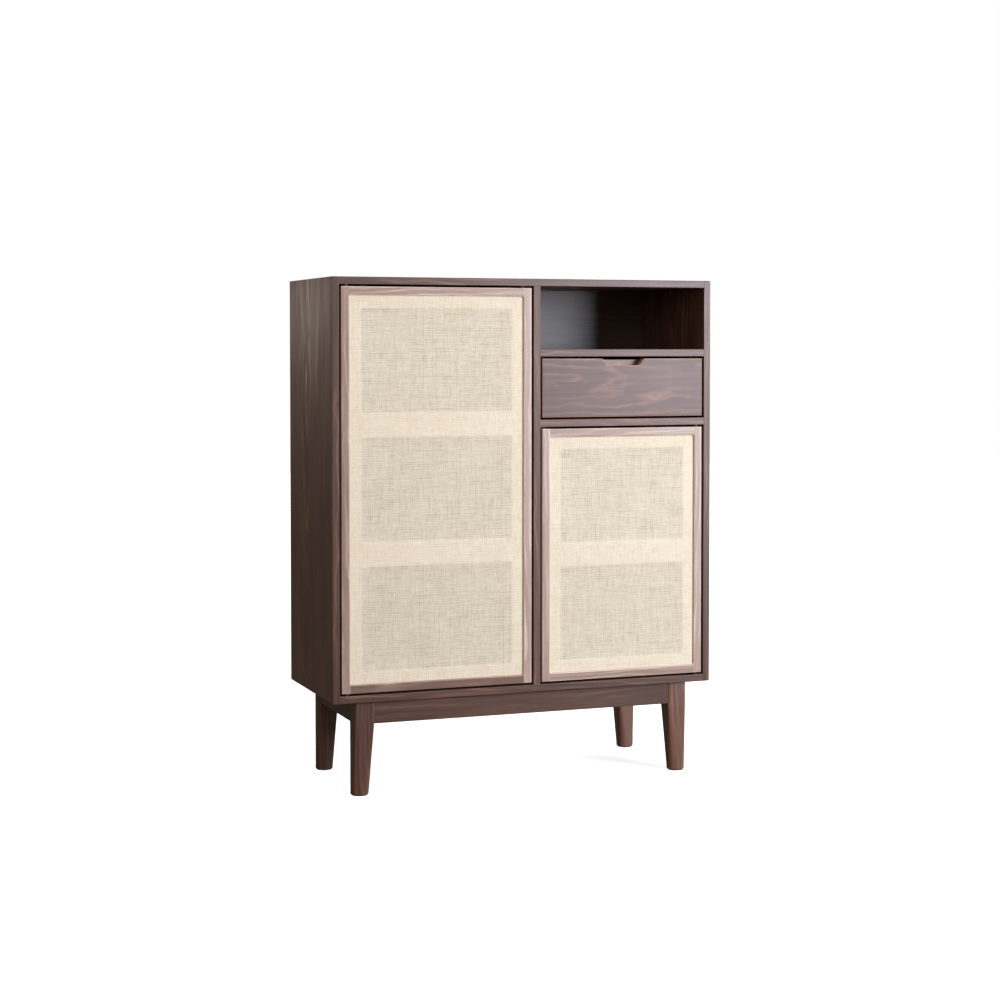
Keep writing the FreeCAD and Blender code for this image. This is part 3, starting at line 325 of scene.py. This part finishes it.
def woven_cane(name, seed):
    """Close-woven split cane: strands of uneven width and tone both ways, whose pairs leave fine gaps
    painted dark as shade. Over the rails it reads cream, and between them it is painted greyer with
    darker gaps, as painted shade for the dark cabinet seen through the weave."""
    material, tree = new_material(name)
    coords = add(tree, "TexCoord", output="Object")

    def noise(width, height, detail, offset, output="Fac"):
        """Noise whose grains are `width` across the door and `height` up it, in metres."""
        shift = (seed + offset, offset, seed * 2 + offset)
        spread = add(tree, "Mapping", {"Vector": coords, "Location": shift,
                                       "Scale": (1 / width, 20.0, 1 / height)})
        return add(tree, "TexNoise", {"Vector": spread, "Scale": 1.0, "Detail": detail,
                                      "Roughness": 0.5}, output=output)

    def math_node(operation, *values):
        return add(tree, "Math", dict(enumerate(values)), operation=operation)

    def pair_gap(strand):
        """The dark line between two pairs of strands, twice as wide apart as the strands."""
        wave = math_node("ABSOLUTE", math_node("SINE", math_node("MULTIPLY", strand, 0.5)))
        return add(tree, "MapRange", {"Value": wave, "From Min": 0.62, "From Max": 0.0})

    def gap_opens(width, height, offset):
        """Where that line is open and where the strands close over it, in long runs."""
        return add(tree, "MapRange", {"Value": noise(width, height, 1.0, offset), "From Min": 0.36,
                                      "From Max": 0.66})

    sway = add(tree, "VectorMath", {0: noise(0.03, 0.03, 1.0, 3.0, "Color"), 1: (0.5, 0.5, 0.5)},
               operation="SUBTRACT")
    swayed = add(tree, "VectorMath", {0: sway, 1: (0.0022, 0, 0.0022), 2: coords},
                 operation="MULTIPLY_ADD")
    split = add(tree, "SeparateXYZ", {"Vector": swayed}).node
    upright = math_node("MULTIPLY", split.outputs["X"], math.pi / CANE_THREAD)
    level = math_node("MULTIPLY", split.outputs["Z"], math.pi / CANE_THREAD)
    upright_wave = math_node("SINE", upright)
    level_wave = math_node("SINE", level)
    crossing = math_node("MULTIPLY", upright_wave, level_wave)
    over = add(tree, "MapRange", {"Value": crossing, "From Min": -0.15, "From Max": 0.15})
    top_strand = add(tree, "Mix", {"Factor": over, 2: math_node("ABSOLUTE", level_wave),
                                   3: math_node("ABSOLUTE", upright_wave)}, data_type="FLOAT")
    gaps = math_node("ADD",
                     math_node("MULTIPLY", pair_gap(upright), gap_opens(2 * CANE_THREAD, 0.16, 17.0)),
                     math_node("MULTIPLY", pair_gap(level), gap_opens(0.16, 2 * CANE_THREAD, 29.0)))
    strand_tone = math_node("ADD", noise(CANE_THREAD, 0.03, 1.0, 5.0),
                            noise(0.03, CANE_THREAD, 1.0, 9.0))
    patch = noise(0.05, 0.05, 2.0, 41.0)
    speck = noise(0.0034, 0.0034, 0.0, 61.0)

    # The edge of a rail shows through a little ragged, strand by strand.
    hollow = add(tree, "Attribute", output="Fac", attribute_name="open_weave")
    ragged = math_node("SUBTRACT", noise(0.004, 0.004, 1.0, 53.0), 0.5)
    on_slope = math_node("MULTIPLY", math_node("PINGPONG", hollow, 0.5), 2.0)
    frayed = math_node("MULTIPLY_ADD", ragged, on_slope, hollow)
    open_weave = add(tree, "MapRange", {"Value": frayed, "From Min": 0.1, "From Max": 0.9})

    # Gaps are darkened as painted shade: a little in the crevices over the rails, more where the dark
    # cabinet would show through the weave.
    painted_gap_shade = add(tree, "Mix", {"Factor": open_weave, 2: 0.10, 3: 0.30}, data_type="FLOAT")
    tone = math_node("MULTIPLY_ADD", strand_tone, 0.42, 0.07)
    tone = math_node("MULTIPLY_ADD", patch, 0.22, tone)
    tone = math_node("MULTIPLY_ADD", speck, 0.26, tone)
    tone = math_node("SUBTRACT", tone, math_node("MULTIPLY", gaps, painted_gap_shade))
    on_rail = add(tree, "ValToRGB", {"Fac": tone}, stops=(
        (0.1, "#c2ab88"), (0.45, "#e4d2b3"), (0.75, "#f4e6cd"), (1.0, "#fdf5e4")))
    # Over the hollow the sheet takes a greyer ramp: painted shade standing in for the dark cabinet behind
    # the weave.
    shade_through_weave = add(tree, "ValToRGB", {"Fac": tone}, stops=(
        (0.05, "#8f8265"), (0.40, "#c8bca0"), (0.70, "#e3d8bf"), (1.0, "#f3ead6")))
    colour = add(tree, "Mix", {"Factor": open_weave, 6: on_rail, 7: shade_through_weave}, data_type="RGBA",
                 output=2)
    relief = math_node("SUBTRACT", top_strand, gaps)
    normal = add(tree, "Bump", {"Height": relief, "Strength": 0.5, "Distance": 0.0004})
    rough = math_node("MULTIPLY_ADD", patch, 0.2, 0.52)
    shader = add(tree, "BsdfPrincipled", {"Base Color": colour, "Roughness": rough, "IOR": 1.5,
                                          "Normal": normal})
    add(tree, "OutputMaterial", {"Surface": shader})
    return material


def cane_sheet(door, mid_bands, seed):
    """One sheet of cane, drawn tight over the door's inner frame and a little hollow between rails."""
    low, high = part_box(door + "_cane")
    stiles = [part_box(door + "_hinge_stile"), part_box(door + "_free_stile")]
    margin = FRAME_FACE + CANE_EDGE_BAND
    left = min(corner.x for corner, _ in stiles) + margin
    right = max(corner.x for _, corner in stiles) - margin
    bottom = stiles[0][0].z + margin
    top = stiles[0][1].z - margin
    field = (top - bottom - mid_bands * CANE_MID_BAND) / (mid_bands + 1)
    fields = [bottom + step * (field + CANE_MID_BAND) for step in range(mid_bands + 1)]

    deselect()
    bpy.ops.mesh.primitive_plane_add(size=1.0, rotation=(math.pi / 2, 0, 0),
                                     location=((low.x + high.x) / 2, low.y, (low.z + high.z) / 2))
    sheet = bpy.context.object
    sheet.name = sheet.data.name = door + "_cane_sheet"
    sheet.scale = (high.x - low.x, high.z - low.z, 1)
    bpy.ops.object.transform_apply(location=True, rotation=True, scale=True)
    cuts = [((x, 0, 0), (1, 0, 0)) for x in (left, right)]
    cuts += [((0, 0, z), (0, 0, 1)) for foot in fields for z in (foot, foot + field)]
    bpy.ops.object.mode_set(mode="EDIT")
    for place, normal in cuts:
        bpy.ops.mesh.select_all(action="SELECT")
        bpy.ops.mesh.bisect(plane_co=place, plane_no=normal)
    bpy.ops.mesh.select_all(action="DESELECT")
    bpy.ops.mesh.select_mode(type="FACE")
    bpy.ops.object.mode_set(mode="OBJECT")

    def inside(point):
        """How far a point lies inside a field, as a share of the slope round it."""
        edges = [min(point.z - foot, foot + field - point.z) for foot in fields]
        share = min(point.x - left, right - point.x, max(edges)) / CANE_HOLLOW_EDGE
        return min(max(share, 0.0), 1.0)

    for face in sheet.data.polygons:
        face.select = inside(face.center) == 1.0
    bpy.ops.object.mode_set(mode="EDIT")
    bpy.ops.mesh.inset(thickness=CANE_HOLLOW_EDGE, use_individual=True)
    bpy.ops.transform.translate(value=(0, CANE_HOLLOW, 0))
    bpy.ops.mesh.select_all(action="SELECT")
    bpy.ops.mesh.subdivide(number_cuts=5)
    bpy.ops.object.mode_set(mode="OBJECT")

    bpy.ops.object.modifier_add(type="SOLIDIFY")
    sheet.modifiers[-1].thickness = CANE_THICKNESS
    sheet.modifiers[-1].offset = -1.0
    bpy.ops.object.modifier_apply(modifier=sheet.modifiers[-1].name)
    bpy.ops.object.shade_smooth_by_angle(angle=math.radians(40))

    open_weave = sheet.data.attributes.new("open_weave", "FLOAT", "POINT")
    for vertex in sheet.data.vertices:
        open_weave.data[vertex.index].value = inside(vertex.co)
    sheet.data.materials.append(woven_cane("close-woven cane, " + door.replace("_", " "), seed))
    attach(sheet, door)
    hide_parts(door + "_cane")
    return sheet


cane_sheet("left_door", 2, 3.0)
cane_sheet("right_door", 1, 8.0)

# ---- Studio -----------------------------------------------------------------------------------


def softbox(name, place, aim, width, height, power, tint="#ffffff"):
    """A large diffused lamp, turned to face a point of the cabinet."""
    bpy.ops.object.light_add(type="AREA", location=place)
    lamp = bpy.context.object
    lamp.name = name
    lamp.rotation_euler = (Vector(aim) - Vector(place)).to_track_quat("-Z", "Y").to_euler()
    lamp.data.shape = "RECTANGLE"
    lamp.data.size = width
    lamp.data.size_y = height
    lamp.data.energy = power
    lamp.data.color = linear(tint)[:3]
    return lamp


softbox("key", (2.3, -3.45, 1.5), (0.2, -0.2, 0.95), 1.4, 1.3, 144, "#e9f1ff")
softbox("front top", (-0.1, -2.3, 2.7), (0.0, -0.2, 1.1), 1.4, 0.7, 10, "#fffaf4")
softbox("left fill", (-2.6, -3.7, 1.9), (-0.2, -0.2, 0.9), 1.2, 1.2, 22, "#fff2e6")
softbox("low right", (1.7, -2.9, 0.35), (0.3, -0.2, 0.35), 0.6, 0.5, 9, "#fff8f2")
# A strip beside the left edge, just under the top, that pales only the head of the side panel.
rim = softbox("left rim", (-0.68, 0.0, 1.23), (-0.5, 0.0, 1.08), 0.40, 0.04, 1.8, "#b0e8ff")
rim.visible_glossy = False
bpy.ops.object.light_add(type="SUN", location=(0, 0, 4), rotation=(math.radians(-8), 0, 0))
overhead = bpy.context.object
overhead.name = "overhead"
overhead.data.energy = OVERHEAD_LIGHT
overhead.data.angle = math.radians(70)

deselect()
bpy.ops.mesh.primitive_grid_add(x_subdivisions=8, y_subdivisions=8, size=FLOOR_SIZE, location=(0, 0, 0))
floor = bpy.context.object
floor.name = "studio_floor"
floor_paint, tree = new_material("matt white floor paint")
coords = add(tree, "TexCoord", output="Object")
speckle = add(tree, "TexNoise", {"Vector": coords, "Scale": 60.0, "Detail": 3.0})
pale = add(tree, "ValToRGB", {"Fac": speckle}, stops=((0.3, "#f6f6f5"), (0.7, "#fbfbfa")))
lit = add(tree, "BsdfDiffuse", {"Color": pale})
glow = add(tree, "Emission", {"Color": pale, "Strength": FLOOR_GLOW})
bright = add(tree, "AddShader", {0: lit, 1: glow})
quiet = add(tree, "BsdfDiffuse", {"Color": linear("#6b665f")})
seen = add(tree, "LightPath", output="Is Camera Ray")
add(tree, "OutputMaterial", {"Surface": add(tree, "MixShader", {"Fac": seen, 1: quiet, 2: bright})})
floor.data.materials.append(floor_paint)

# White surroundings: bright to look at, and softer and warmer as a light so that shaded sides stay
# dark and brown.
world = bpy.data.worlds.new("white studio")
bpy.context.scene.world = world
world.use_nodes = True
tree = world.node_tree
tree.nodes.clear()
seen = add(tree, "LightPath", output="Is Camera Ray")
strength = add(tree, "MapRange", {"Value": seen, "To Min": SURROUND_LIGHT, "To Max": 1.0})
around = add(tree, "Mix", {"Factor": seen, 6: linear("#ffe3d2"), 7: linear("#ffffff")},
             data_type="RGBA", output=2)
add(tree, "OutputWorld", {"Surface": add(tree, "Background", {"Color": around, "Strength": strength})})

deselect()
bpy.ops.object.camera_add(location=CAMERA_PLACE,
                          rotation=(math.pi / 2 - CAMERA_LOOKS_DOWN, 0.0, -CAMERA_TURNS_RIGHT))
camera = bpy.context.object
camera.data.lens = CAMERA_LENS
camera.data.sensor_width = 36.0
camera.data.shift_y = CAMERA_SHIFT
bpy.context.scene.camera = camera
bpy.context.scene.view_settings.view_transform = "Standard"
